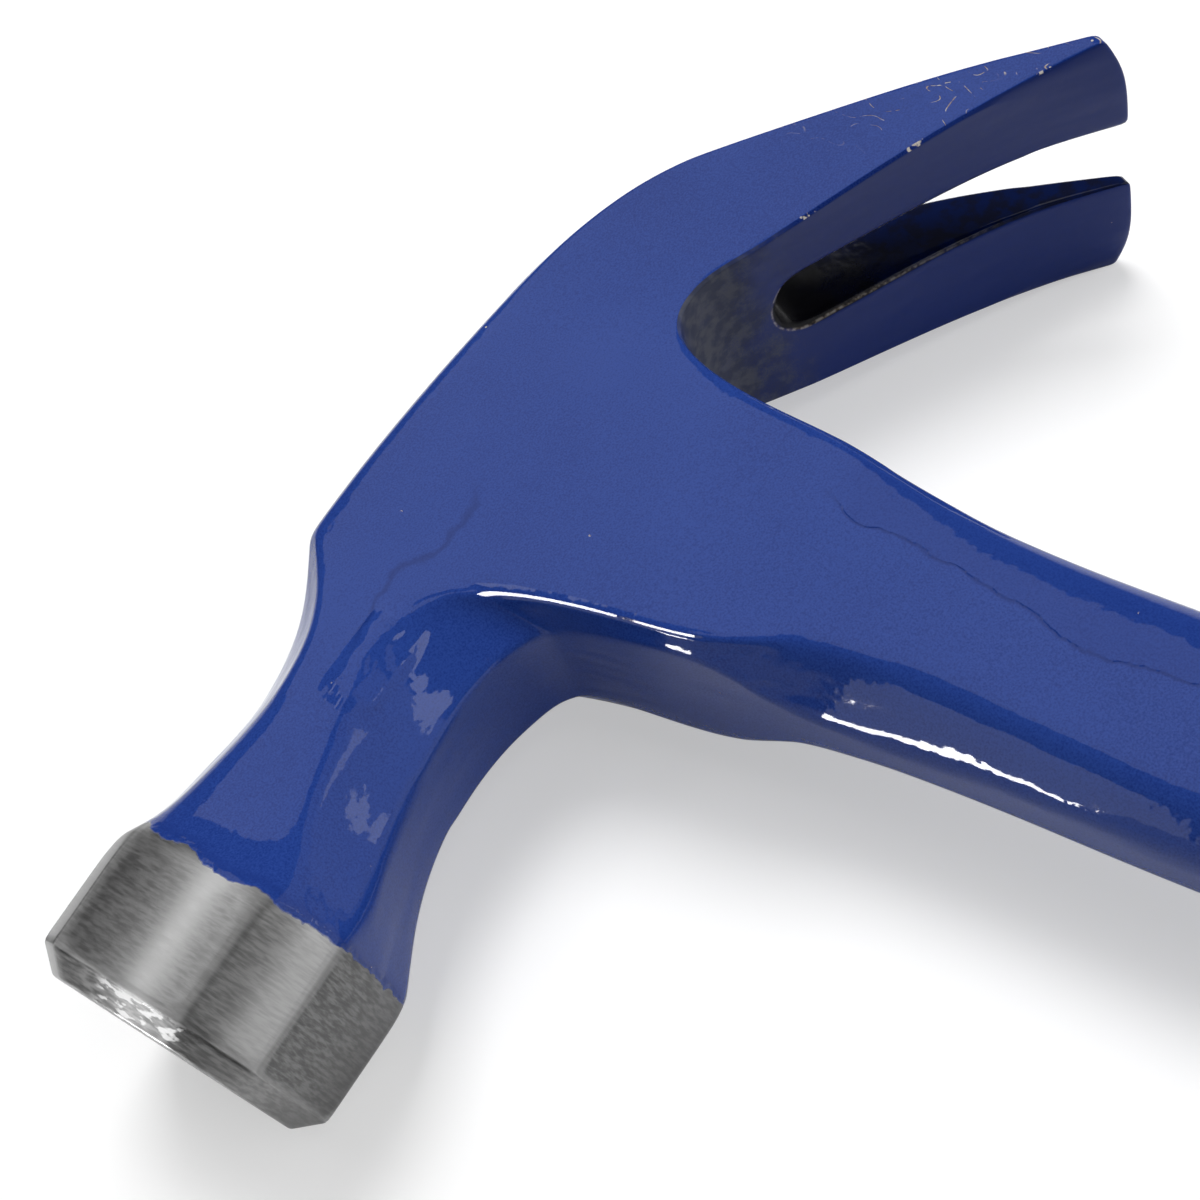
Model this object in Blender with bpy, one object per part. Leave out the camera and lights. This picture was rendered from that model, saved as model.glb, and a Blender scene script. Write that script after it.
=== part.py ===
"""A curved-claw nail hammer: a one-piece steel forging with a two-layer cushion grip bonded to its tang."""

import math
from collections import namedtuple

import bmesh
import bpy
import numpy as np

MM = 0.001

# Driving dimensions in millimetres.
# Working frame: x runs from the striking face to the claw tips, y from the butt to the top of the head, z across.
# The poll's axis is y = 0, and z = 0 is the plane of symmetry.
POLL_ACROSS_FLATS = 30.2
POLL_FLAT_SHARE = 0.58
FACE_BEVEL = 2.5
OVERALL_LENGTH = 343.0
HEAD_TOP = 16.6
CHEEK_HALF = 11.4
CHEEK_EDGE = (1.2, 0.9)
CLAW_TOP_EDGE = (0.6, 0.6)
CLAW_UNDER_EDGE = (0.4, 0.4)
BUTT = HEAD_TOP - OVERALL_LENGTH
BUTT_THICKNESS = 15.0
TANG_END = BUTT + BUTT_THICKNESS
GRIP_MOUTH = -158.0
GAP = 0.3

# How hard the subdivided surface holds an edge: 0 is fully rounded, 1 is sharp.
GROUND, CRISP, NECKED, WORN, FORGED, SOFT, ROUND = 0.75, 0.7, 0.58, 0.5, 0.42, 0.25, 0.0

# One cross-section of the forging, cut across its run.
# upper and lower are the outline's (x, y) on the plane of symmetry and half is the half width at each of them.
# A bevel is (length down the side, length across the width), and edge holds the four long edges to the next section.
# lift raises the middle of the upper and of the lower side, and slot is the half width of the nail slot.
Section = namedtuple("Section", "upper lower half upper_bevel lower_bevel edge lift slot", defaults=((0.0, 0.0), 0.0))


def octagon(x, half):
    """A section of the poll: a square with its corners cut off, so that each flat has its share of the width."""
    corner = half * (1 - POLL_FLAT_SHARE)
    return Section((x, half), (x, -half), (half, half), (corner, corner), (corner, corner), GROUND)


POLL_HALF = POLL_ACROSS_FLATS / 2
HEAD = [
    octagon(0.0, POLL_HALF - FACE_BEVEL),
    octagon(FACE_BEVEL, POLL_HALF),
    Section((15.1, 15.1), (16.8, -15.6), (15.5, 15.5), (6.4, 6.6), (6.4, 6.6), FORGED),
    Section((19.4, 13.5), (20.5, -14.8), (13.2, 13.2), (5.4, 6.4), (6.5, 7.0), FORGED),
    Section((26.1, 12.7), (26.1, -12.2), (12.4, 12.4), (5.4, 5.8), (7.4, 6.8), FORGED),
    Section((34.8, 11.6), (34.8, -10.0), (12.0, 12.0), (5.6, 6.4), (7.7, 6.6), NECKED),
    Section((44.5, 13.1), (44.5, -9.8), (11.7, 11.7), (5.6, 5.6), (10.4, 5.2), NECKED),
    Section((50.3, 15.3), (50.3, -11.1), (11.5, 11.5), (3.4, 3.2), (9.5, 4.4), NECKED),
    Section((54.0, HEAD_TOP), (56.2, -12.9), (CHEEK_HALF, CHEEK_HALF), CHEEK_EDGE, (7.6, 2.8), FORGED),
    Section((63.9, 16.5), (63.9, -2.9), (CHEEK_HALF, CHEEK_HALF), CHEEK_EDGE, (0.0, 0.0), FORGED),
    Section((76.5, 15.5), (76.5, -3.9), (CHEEK_HALF, CHEEK_HALF), CHEEK_EDGE, (0.0, 0.0), FORGED),
    Section((89.5, 13.8), (91.6, -8.7), (CHEEK_HALF, CHEEK_HALF), CHEEK_EDGE, (0.5, 0.5), CRISP),
    Section((99.6, 10.9), (98.7, -8.7), (12.3, 12.2), CLAW_TOP_EDGE, CLAW_UNDER_EDGE, CRISP, (0.8, 0.8)),
    Section((108.6, 6.2), (102.4, -11.4), (13.5, 13.0), CLAW_TOP_EDGE, CLAW_UNDER_EDGE, CRISP, (1.2, 1.2)),
    Section((113.4, 1.6), (105.3, -13.6), (14.4, 13.3), CLAW_TOP_EDGE, CLAW_UNDER_EDGE, CRISP, (1.5, 1.5)),
    Section((114.9, -0.1), (106.6, -14.5), (14.6, 13.6), CLAW_TOP_EDGE, CLAW_UNDER_EDGE, CRISP, (1.5, 1.5), 4.2),
    Section((118.2, -4.3), (110.2, -16.9), (15.1, 14.1), CLAW_TOP_EDGE, CLAW_UNDER_EDGE, CRISP, (1.5, 1.5), 4.4),
    Section((124.5, -12.6), (117.3, -21.5), (16.0, 15.1), CLAW_TOP_EDGE, CLAW_UNDER_EDGE, CRISP, (1.7, 1.5), 4.4),
    Section((130.8, -21.1), (125.6, -27.2), (16.9, 16.2), CLAW_TOP_EDGE, CLAW_UNDER_EDGE, CRISP, (2.0, 1.7), 4.4),
    Section((136.5, -29.9), (133.5, -33.5), (17.8, 17.3), CLAW_TOP_EDGE, CLAW_UNDER_EDGE, WORN, (1.4, 1.6), 4.6),
    Section((141.6, -38.7), (140.5, -40.5), (18.5, 18.4), (0.3, 3.2), (0.3, 3.2), CRISP, (0.4, 0.7), 4.8),
]
SHOULDER, THROAT, CROTCH, SLOT_END, TIP = 2, 8, 11, 14, 20

# How far each point of the tip's section runs on along the claw: the inner corner leads and the outer one falls back.
TIP_RUN = (0.6, -0.8)
TIP_LEADS = (0.5, 0.7, -1.3, -1.3, 0.7, 0.5)

# The shank's sections run down from the cheek: upper is its front edge, lower its back edge.
SHANK = [
    Section((57.7, -21.3), (88.2, -21.3), (11.4, 11.4), (0.5, 1.0), (0.9, 0.9), CRISP),
    Section((58.8, -32.9), (87.4, -32.9), (11.3, 11.3), (0.5, 0.7), (1.0, 1.0), NECKED),
    Section((59.0, -39.7), (86.0, -39.7), (10.4, 10.4), (4.4, 5.0), (1.2, 1.2), FORGED),
    Section((59.7, -50.3), (84.7, -50.3), (9.3, 9.3), (5.3, 5.0), (1.9, 1.9), SOFT),
    Section((60.5, -65.8), (84.2, -65.8), (8.6, 8.6), (4.2, 4.3), (2.5, 2.3), SOFT),
    Section((60.3, -85.2), (84.9, -85.2), (8.1, 8.1), (3.6, 3.8), (3.3, 2.9), ROUND),
    Section((61.8, -115.0), (82.4, -115.0), (7.2, 7.2), (3.8, 3.4), (4.5, 3.4), ROUND),
    Section((63.2, -148.0), (80.6, -148.0), (6.4, 6.4), (4.6, 3.2), (4.4, 3.2), ROUND),
    Section((64.4, -166.0), (79.4, -166.0), (5.0, 5.0), (3.0, 2.2), (3.0, 2.2), ROUND),
    Section((64.8, TANG_END), (79.0, TANG_END), (4.6, 4.6), (2.8, 2.0), (2.8, 2.0), ROUND),
]
NECK_OF_GRIP, TANG = SHANK[-3], SHANK[-2]

# The grip's outside: (y, half width along x, half thickness along z), from the mouth to the butt.
GRIP_PROFILE = [
    (GRIP_MOUTH, 11.8, 9.3),
    (-163.0, 13.2, 10.8),
    (-172.0, 14.8, 12.3),
    (-198.0, 16.4, 13.6),
    (-238.0, 15.4, 13.0),
    (-280.0, 15.6, 13.2),
    (-306.0, 17.6, 14.8),
    (-319.0, 19.2, 15.8),
    (-325.0, 17.6, 14.2),
    (BUTT, 13.0, 10.0),
]
GRIP_CENTRE = (TANG.upper[0] + TANG.lower[0]) / 2
GRIP_ROUNDNESS = 2.5
GRIP_SIDES = 28

# The liner is a glued sleeve with a closed end, and its collar is the step that the soft sleeve stops against.
GLUE_LINE = 0.8
LINER_WALL = 1.4
LINER_END = 2.1
COLLAR_LENGTH = 5.0
COLLAR_NOSE = 1.4

# The grooves lie across the front and back of the soft sleeve, and fade out round its sides.
GROOVE_FIRST, GROOVE_PITCH, GROOVE_COUNT = -186.0, 9.0, 12
GROOVE_DEPTH = 0.9
GROOVE_FLOOR, GROOVE_MOUTH = 1.8, 4.4
GROOVE_FADE = (0.5, 0.83)


def clear_scene():
    """Start from an empty scene."""
    for item in list(bpy.data.objects):
        bpy.data.objects.remove(item)


def principled(name, colour, roughness, metallic=0.0):
    """A plain material with the piece's own colour and finish."""
    material = bpy.data.materials.new(name)
    material.use_nodes = True
    shader = material.node_tree.nodes["Principled BSDF"]
    shader.inputs["Base Color"].default_value = (*colour, 1.0)
    shader.inputs["Roughness"].default_value = roughness
    shader.inputs["Metallic"].default_value = metallic
    return material


def add_piece(name, mesh, material, parent):
    """Put a mesh into the scene as one named piece of the hammer."""
    piece = bpy.data.objects.new(name, mesh)
    mesh.materials.append(material)
    piece.parent = parent
    bpy.context.scene.collection.objects.link(piece)
    return piece


def half_ring(section, side_points=0):
    """Points of a section on the z >= 0 side, from the upper to the lower middle, as rows of x, y, z."""
    upper, lower = np.array(section.upper), np.array(section.lower)
    down = (lower - upper) / np.linalg.norm(lower - upper)
    upper_middle, lower_middle = upper - down * section.lift[0], lower - down * section.lift[1]
    half_upper, half_lower = section.half
    side_upper = upper + down * section.upper_bevel[0]
    side_lower = lower - down * section.lower_bevel[0]
    side = np.linspace(side_upper, side_lower, side_points + 2)
    widths = np.linspace(half_upper, half_lower, side_points + 2)
    ring = [(*upper_middle, section.slot), (*upper, half_upper - section.upper_bevel[1])]
    ring += [(*point, width) for point, width in zip(side, widths)]
    ring += [(*lower, half_lower - section.lower_bevel[1]), (*lower_middle, section.slot)]
    return ring


def add_strip(cage, first, second, crease, weights):
    """Quads between two rows of points, holding the edges that run from row to row by their weights."""
    for k in range(len(first) - 1):
        cage.faces.new((first[k], first[k + 1], second[k + 1], second[k]))
    for k, weight in weights.items():
        cage.edges.get((first[k], second[k]))[crease] = weight


def hold_ring(cage, ring, crease, weight):
    """Hold the edges round one section."""
    for first, second in zip(ring, ring[1:]):
        cage.edges.get((first, second))[crease] = weight


def forging_mesh():
    """The control cage of the z >= 0 half: a row of head sections, opened under the cheek for the shank's sections."""
    cage = bmesh.new()
    crease = cage.edges.layers.float.new("crease_edge")

    def place(points):
        return [cage.verts.new(np.array(point) * MM) for point in points]

    head = [place(half_ring(section)) for section in HEAD[:THROAT + 1]]
    head += [place(half_ring(section)[:4]) for section in HEAD[THROAT + 1:CROTCH]]
    head += [place(half_ring(section)) for section in HEAD[CROTCH:TIP]]
    head.append(place(half_ring(HEAD[TIP]) + np.outer(TIP_LEADS, (*TIP_RUN, 0.0))))
    for i, section in enumerate(HEAD[:-1]):
        under_cheek = THROAT <= i < CROTCH
        weights = {k: section.edge for k in ((1, 2) if under_cheek else (1, 2, 3, 4))}
        if i >= SLOT_END:
            weights.update({0: section.edge, 5: section.edge})
        count = 4 if under_cheek else 6
        add_strip(cage, head[i][:count], head[i + 1][:count], crease, weights)
        if i >= SLOT_END:
            cage.faces.new((head[i][0], head[i + 1][0], head[i + 1][5], head[i][5]))

    # The striking face closes the poll, and a narrow end closes each claw.
    face = head[0]
    middle = place([(0.0, share * HEAD[0].half[0] * POLL_FLAT_SHARE, 0.0) for share in (1, -1)])
    cage.faces.new((middle[0], face[2], face[1], face[0]))
    cage.faces.new((middle[1], face[3], face[2], middle[0]))
    cage.faces.new((face[5], face[4], face[3], middle[1]))
    tip = head[TIP]
    cage.faces.new((tip[0], tip[1], tip[4], tip[5]))
    cage.faces.new((tip[1], tip[2], tip[3], tip[4]))
    for ring, weight in ((face, GROUND), (head[1], GROUND), (head[SHOULDER], FORGED), (tip, WORN)):
        hold_ring(cage, ring, crease, weight)
    hold_ring(cage, head[THROAT][:3], crease, FORGED)
    cage.edges.get((tip[0], tip[5]))[crease] = CRISP

    # The shank grows from the open edge under the cheek.
    row = [head[THROAT][5], head[THROAT][4], head[THROAT][3]]
    row += [head[i][3] for i in range(THROAT + 1, CROTCH)]
    row += [head[CROTCH][3], head[CROTCH][4], head[CROTCH][5]]
    weight = CRISP
    for section in SHANK:
        below = place(half_ring(section, side_points=CROTCH - THROAT - 1))
        add_strip(cage, below, row, crease, {k: weight for k in (1, 2, 5, 6)})
        row, weight = below, section.edge
    hold_ring(cage, row, crease, CRISP)
    cage.faces.new(row[::-1])

    mesh = bpy.data.meshes.new("head_and_shank")
    cage.to_mesh(mesh)
    cage.free()
    return mesh


def half_sizes(section, margin):
    """Half the width along x and half the thickness along z of a section of the shank, with a margin all round."""
    return (section.lower[0] - section.upper[0]) / 2 + margin, section.half[0] + margin


def oval(y, half):
    """A ring of points round the grip's axis at y: a superellipse with the given half sizes."""
    turn = np.linspace(0, 2 * math.pi, GRIP_SIDES, endpoint=False)
    power = 2 / GRIP_ROUNDNESS
    across = np.sign(np.cos(turn)) * np.abs(np.cos(turn)) ** power * half[0]
    thick = np.sign(np.sin(turn)) * np.abs(np.sin(turn)) ** power * half[1]
    return np.column_stack([GRIP_CENTRE + across, np.full(GRIP_SIDES, y), thick])


def sleeve_mesh(name, rings):
    """A closed skin through rings of equal count, from the outside of the butt to the blind end of the bore."""
    skin = bmesh.new()
    rows = [[skin.verts.new(point * MM) for point in ring] for ring in rings]
    for first, second in zip(rows, rows[1:]):
        for k in range(len(first)):
            skin.faces.new((first[k - 1], first[k], second[k], second[k - 1]))
    skin.faces.new(rows[0])
    skin.faces.new(rows[-1])
    bmesh.ops.recalc_face_normals(skin, faces=skin.faces)
    mesh = bpy.data.meshes.new(name)
    skin.to_mesh(mesh)
    skin.free()
    mesh.shade_smooth()
    return mesh


def liner_mesh():
    """A hard sleeve round the tang with a collar at its mouth."""
    front = GRIP_MOUTH + COLLAR_LENGTH
    outer = half_sizes(TANG, GLUE_LINE + LINER_WALL)
    collar = np.array(GRIP_PROFILE[0][1:])
    bore = half_sizes(TANG, GLUE_LINE)
    outside = [(TANG_END - GAP - LINER_END, outer), (GRIP_MOUTH, outer), (GRIP_MOUTH, collar)]
    nose = [(front - COLLAR_NOSE, collar), (front, collar - COLLAR_NOSE)]
    inside = [(front, half_sizes(NECK_OF_GRIP, GLUE_LINE)), (TANG.upper[1], bore), (TANG_END - GAP, bore)]
    return sleeve_mesh("grip_liner", [oval(y, half) for y, half in outside + nose + inside])


def grip_mesh():
    """A soft sleeve with a swell for the hand, a flared butt, and grooves across its front and back."""
    ys, across, thick = np.array(GRIP_PROFILE[::-1]).T
    grooves = [GROOVE_FIRST - GROOVE_PITCH * i for i in range(GROOVE_COUNT)]
    lips = (-GROOVE_MOUTH / 2, -GROOVE_FLOOR / 2, GROOVE_FLOOR / 2, GROOVE_MOUTH / 2)
    edges = [y + lip for y in grooves for lip in lips]
    plain = ys[(ys < min(edges)) | (ys > max(edges))]
    rings = []
    for y in sorted([*edges, *plain]):
        half = np.interp(y, ys, across), np.interp(y, ys, thick)
        ring = oval(y, half)
        in_groove = min(abs(y - groove) for groove in grooves) < GROOVE_MOUTH / 2 - GAP
        side = (ring[:, 0] - GRIP_CENTRE) / half[0]
        fade = np.interp(np.abs(side), GROOVE_FADE, (0, 1))
        ring[:, 0] -= np.sign(side) * fade * GROOVE_DEPTH * in_groove
        rings.append(ring)
    rings[-1][:, 1] -= GAP
    bore = half_sizes(TANG, GLUE_LINE + LINER_WALL + GAP)
    bore_end = TANG_END - LINER_END - 2 * GAP
    rings += [oval(GRIP_MOUTH - GAP, bore), oval(bore_end, bore)]
    return sleeve_mesh("grip_sleeve", rings)


def surface_points(piece, graph):
    """The points of a piece's finished surface, as rows of x, y, z."""
    mesh = piece.evaluated_get(graph).to_mesh()
    points = np.empty(len(mesh.vertices) * 3)
    mesh.vertices.foreach_get("co", points)
    return points.reshape(-1, 3)


def stand_on_floor(hammer, pieces):
    """Move the whole hammer so that the bottom centre of its box is the origin."""
    bpy.context.view_layer.update()
    graph = bpy.context.evaluated_depsgraph_get()
    points = np.concatenate([surface_points(piece, graph) for piece in pieces])
    low, high = points.min(axis=0), points.max(axis=0)
    hammer.location = (-(low[0] + high[0]) / 2, -(low[1] + high[1]) / 2, -low[2])


def main():
    clear_scene()
    hammer = bpy.data.objects.new("hammer", None)
    bpy.context.scene.collection.objects.link(hammer)
    enamel = principled("blue_enamel", (0.03, 0.06, 0.27), 0.25)
    hard = principled("liner_plastic", (0.02, 0.02, 0.022), 0.45)
    soft = principled("grip_rubber", (0.03, 0.03, 0.032), 0.75)

    forging = add_piece("head_and_shank", forging_mesh(), enamel, hammer)
    mirror = forging.modifiers.new("other_half", "MIRROR")
    mirror.use_axis = (False, False, True)
    mirror.merge_threshold = 0.0001
    rounding = forging.modifiers.new("forged_rounding", "SUBSURF")
    rounding.levels = 2
    rounding.render_levels = 2
    forging.data.shade_smooth()

    liner = add_piece("grip_liner", liner_mesh(), hard, hammer)
    sleeve = add_piece("grip_sleeve", grip_mesh(), soft, hammer)
    stand_on_floor(hammer, (forging, liner, sleeve))


main()
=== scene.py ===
"""Looks of a solid steel nail hammer: an enamelled one-piece forging with a two-layer grip on its tang."""

import bpy
import numpy as np
from mathutils import Matrix, Vector


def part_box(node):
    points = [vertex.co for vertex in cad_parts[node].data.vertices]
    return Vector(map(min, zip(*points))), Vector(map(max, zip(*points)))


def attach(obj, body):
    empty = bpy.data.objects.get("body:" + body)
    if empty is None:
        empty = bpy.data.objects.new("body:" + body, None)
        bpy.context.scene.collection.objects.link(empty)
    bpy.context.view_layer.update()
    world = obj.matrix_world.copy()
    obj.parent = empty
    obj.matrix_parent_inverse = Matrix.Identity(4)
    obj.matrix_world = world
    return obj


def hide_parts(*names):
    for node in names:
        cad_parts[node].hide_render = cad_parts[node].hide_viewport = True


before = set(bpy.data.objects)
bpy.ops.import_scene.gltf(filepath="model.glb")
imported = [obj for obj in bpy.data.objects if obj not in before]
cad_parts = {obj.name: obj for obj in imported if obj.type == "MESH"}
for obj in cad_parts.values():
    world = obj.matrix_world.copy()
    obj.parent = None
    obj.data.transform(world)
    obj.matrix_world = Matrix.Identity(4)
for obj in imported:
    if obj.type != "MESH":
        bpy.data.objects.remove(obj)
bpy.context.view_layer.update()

# Forging
# Poll, neck, cheek, claws and shank are one drop forging of carbon steel, with its flash trimmed and its
# corners ground. It is dipped in blue enamel up to the poll, whose sides and striking face are ground bare.
MM = 0.001
TANG_END = -311.4
forging_low, forging_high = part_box("head_and_shank")
POLL_AXIS = Vector((forging_low.x, forging_low.y - TANG_END * MM, (forging_low.z + forging_high.z) / 2))

POLL_HALF = 15.1
POLL_CORNER = 0.42 * POLL_HALF
FACE_BEVEL = 2.5
FACE_HALF = POLL_HALF - FACE_BEVEL
FACE_CORNER = 0.42 * FACE_HALF
GROUND, CRISP, NECKED, WORN, EASED, FORGED, SOFT, ROUND = 0.75, 0.7, 0.58, 0.5, 0.45, 0.42, 0.25, 0.0

# One row is a section across the run of the metal, in millimetres from the poll's axis at the striking
# face: upper x, y and lower x, y of its outline, half width at both, upper and lower bevel as length down
# the side and across the width, lift of the upper and lower middle, half width of the nail slot, and how
# crisp its long edges are.
HEAD = np.array([
    (0.0, FACE_HALF, 0.0, -FACE_HALF, FACE_HALF, FACE_HALF,
     *[FACE_CORNER] * 4, 0.0, 0.0, 0.0, GROUND),
    (FACE_BEVEL, POLL_HALF, FACE_BEVEL, -POLL_HALF, POLL_HALF, POLL_HALF,
     *[POLL_CORNER] * 4, 0.0, 0.0, 0.0, GROUND),
    (15.1, 15.1, 16.8, -15.6, 15.5, 15.5, 6.4, 6.6, 6.4, 6.6, 0.0, 0.0, 0.0, FORGED),
    (19.4, 13.5, 20.5, -14.8, 13.2, 13.2, 5.4, 6.4, 6.5, 7.0, 0.0, 0.0, 0.0, FORGED),
    (26.1, 12.7, 26.1, -12.2, 12.4, 12.4, 5.4, 5.8, 7.4, 6.8, 0.0, 0.0, 0.0, FORGED),
    (34.8, 11.6, 34.8, -10.0, 12.0, 12.0, 5.6, 6.4, 7.7, 6.6, 0.0, 0.0, 0.0, NECKED),
    (44.5, 13.1, 44.5, -9.8, 11.7, 11.7, 5.6, 5.6, 10.4, 5.2, 0.0, 0.0, 0.0, NECKED),
    (50.3, 15.3, 50.3, -11.1, 11.5, 11.5, 3.4, 3.2, 10.6, 4.4, 0.0, 0.0, 0.0, NECKED),
    (54.0, 16.6, 56.0, -13.5, 11.4, 11.4, 1.2, 0.9, 8.2, 4.8, 0.0, 0.0, 0.0, FORGED),
    (63.9, 16.5, 63.9, -2.9, 11.4, 11.4, 1.2, 0.9, 0.0, 0.0, 0.0, 0.0, 0.0, FORGED),
    (76.5, 15.5, 76.5, -3.9, 11.4, 11.4, 1.2, 0.9, 0.0, 0.0, 0.0, 0.0, 0.0, FORGED),
    (89.5, 13.8, 91.6, -8.7, 11.4, 11.4, 1.2, 0.9, 0.5, 0.5, 0.0, 0.0, 0.0, CRISP),
    (99.6, 10.9, 98.7, -8.7, 12.3, 12.2, 0.6, 0.6, 0.4, 0.4, 0.8, 0.8, 0.0, CRISP),
    (108.6, 6.2, 102.4, -11.4, 13.5, 13.0, 0.6, 0.6, 0.4, 0.4, 1.2, 1.2, 0.0, CRISP),
    (113.4, 1.6, 105.3, -13.6, 14.4, 13.3, 0.6, 0.6, 0.4, 0.4, 1.5, 1.5, 0.0, CRISP),
    (114.9, -0.1, 106.6, -14.5, 14.6, 13.6, 0.6, 0.6, 0.4, 0.4, 1.5, 1.5, 4.2, CRISP),
    (118.2, -4.3, 110.2, -16.9, 15.1, 14.1, 0.6, 0.6, 0.4, 0.4, 1.5, 1.5, 4.4, CRISP),
    (124.5, -12.6, 117.3, -21.5, 16.0, 15.1, 0.6, 0.6, 0.4, 0.4, 1.7, 1.5, 4.4, CRISP),
    (130.8, -21.1, 125.6, -27.2, 16.9, 16.2, 0.6, 0.6, 0.4, 0.4, 2.0, 1.7, 4.4, CRISP),
    (136.5, -29.9, 133.5, -33.5, 17.8, 17.3, 0.6, 0.6, 0.4, 0.4, 1.4, 1.6, 4.6, WORN),
    (141.6, -38.7, 140.5, -40.5, 18.5, 18.4, 0.3, 5.2, 0.3, 5.2, 0.4, 0.7, 4.8, CRISP),
])
SHOULDER, THROAT, CROTCH, SLOT_END, TIP = 2, 8, 11, 14, 20
TIP_RUN = np.array((0.6, -0.8))
TIP_LEADS = np.array((1.3, 1.1, -1.2, -1.2, 1.1, 1.3))
SHANK = np.array([
    (57.0, -21.3, 88.2, -21.3, 11.4, 11.4, 1.7, 3.0, 0.9, 0.9, 0.0, 0.0, 0.0, EASED),
    (58.5, -32.9, 87.4, -32.9, 11.3, 11.3, 1.0, 1.6, 1.0, 1.0, 0.0, 0.0, 0.0, NECKED),
    (59.0, -39.7, 86.0, -39.7, 10.4, 10.4, 5.0, 7.4, 1.2, 1.2, 0.0, 0.0, 0.0, FORGED),
    (59.7, -50.3, 84.7, -50.3, 9.3, 9.3, 5.8, 6.9, 1.9, 1.9, 0.0, 0.0, 0.0, SOFT),
    (60.5, -65.8, 84.2, -65.8, 8.6, 8.6, 4.4, 5.4, 2.5, 2.3, 0.0, 0.0, 0.0, SOFT),
    (60.3, -85.2, 84.9, -85.2, 8.1, 8.1, 3.7, 4.5, 3.3, 2.9, 0.0, 0.0, 0.0, ROUND),
    (61.8, -115.0, 82.4, -115.0, 7.2, 7.2, 3.8, 3.4, 4.5, 3.4, 0.0, 0.0, 0.0, ROUND),
    (63.2, -148.0, 80.6, -148.0, 6.4, 6.4, 4.6, 3.2, 4.4, 3.2, 0.0, 0.0, 0.0, ROUND),
    (64.4, -166.0, 79.4, -166.0, 5.0, 5.0, 3.0, 2.2, 3.0, 2.2, 0.0, 0.0, 0.0, ROUND),
    (64.8, TANG_END, 79.0, TANG_END, 4.6, 4.6, 2.8, 2.0, 2.8, 2.0, 0.0, 0.0, 0.0, ROUND),
])


def half_rings(sections, side_points):
    """Control points on the near side of the mid-plane, as (section, point, xyz).

    A ring runs from the upper middle to the upper corner, which is the outline pulled in by its bevel, down
    the flat side from bevel to bevel in equal steps, and over the lower corner to the lower middle. The
    middles are lifted against the section's direction, and spread by half the nail slot.
    """
    upper, lower, half, upper_bevel, lower_bevel, upper_lift, lower_lift, slot, _ = np.split(
        sections, (2, 4, 6, 8, 10, 11, 12, 13), axis=1)
    down = (lower - upper) / np.linalg.norm(lower - upper, axis=1, keepdims=True)
    side_start = upper + down * upper_bevel[:, :1]
    side_end = lower - down * lower_bevel[:, :1]
    side = np.linspace(side_start, side_end, side_points + 2, axis=1)
    widths = np.linspace(half[:, 0], half[:, 1], side_points + 2, axis=1)
    outline = np.stack([upper - down * upper_lift, upper], axis=1)
    outline_below = np.stack([lower, lower - down * lower_lift], axis=1)
    across = np.column_stack([slot, half[:, :1] - upper_bevel[:, 1:]])
    across_below = np.column_stack([half[:, 1:] - lower_bevel[:, 1:], slot])
    flat = np.concatenate([outline, side, outline_below], axis=1)
    depth = np.concatenate([across, widths, across_below], axis=1)
    return np.concatenate([flat, depth[..., None]], axis=2)


def strips(rows):
    """Quads between neighbouring rows of a grid of point numbers."""
    return np.stack([rows[:-1, :-1], rows[:-1, 1:], rows[1:, 1:], rows[1:, :-1]], axis=2).reshape(-1, 4)


def along(rows, columns):
    """Edges that run from row to row in the given columns, as pairs of point numbers."""
    return np.stack([rows[:-1][:, columns], rows[1:][:, columns]], axis=2)


def around(ring):
    """Edges from point to point of one ring."""
    return np.stack([ring[:-1], ring[1:]], axis=1)


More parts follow.
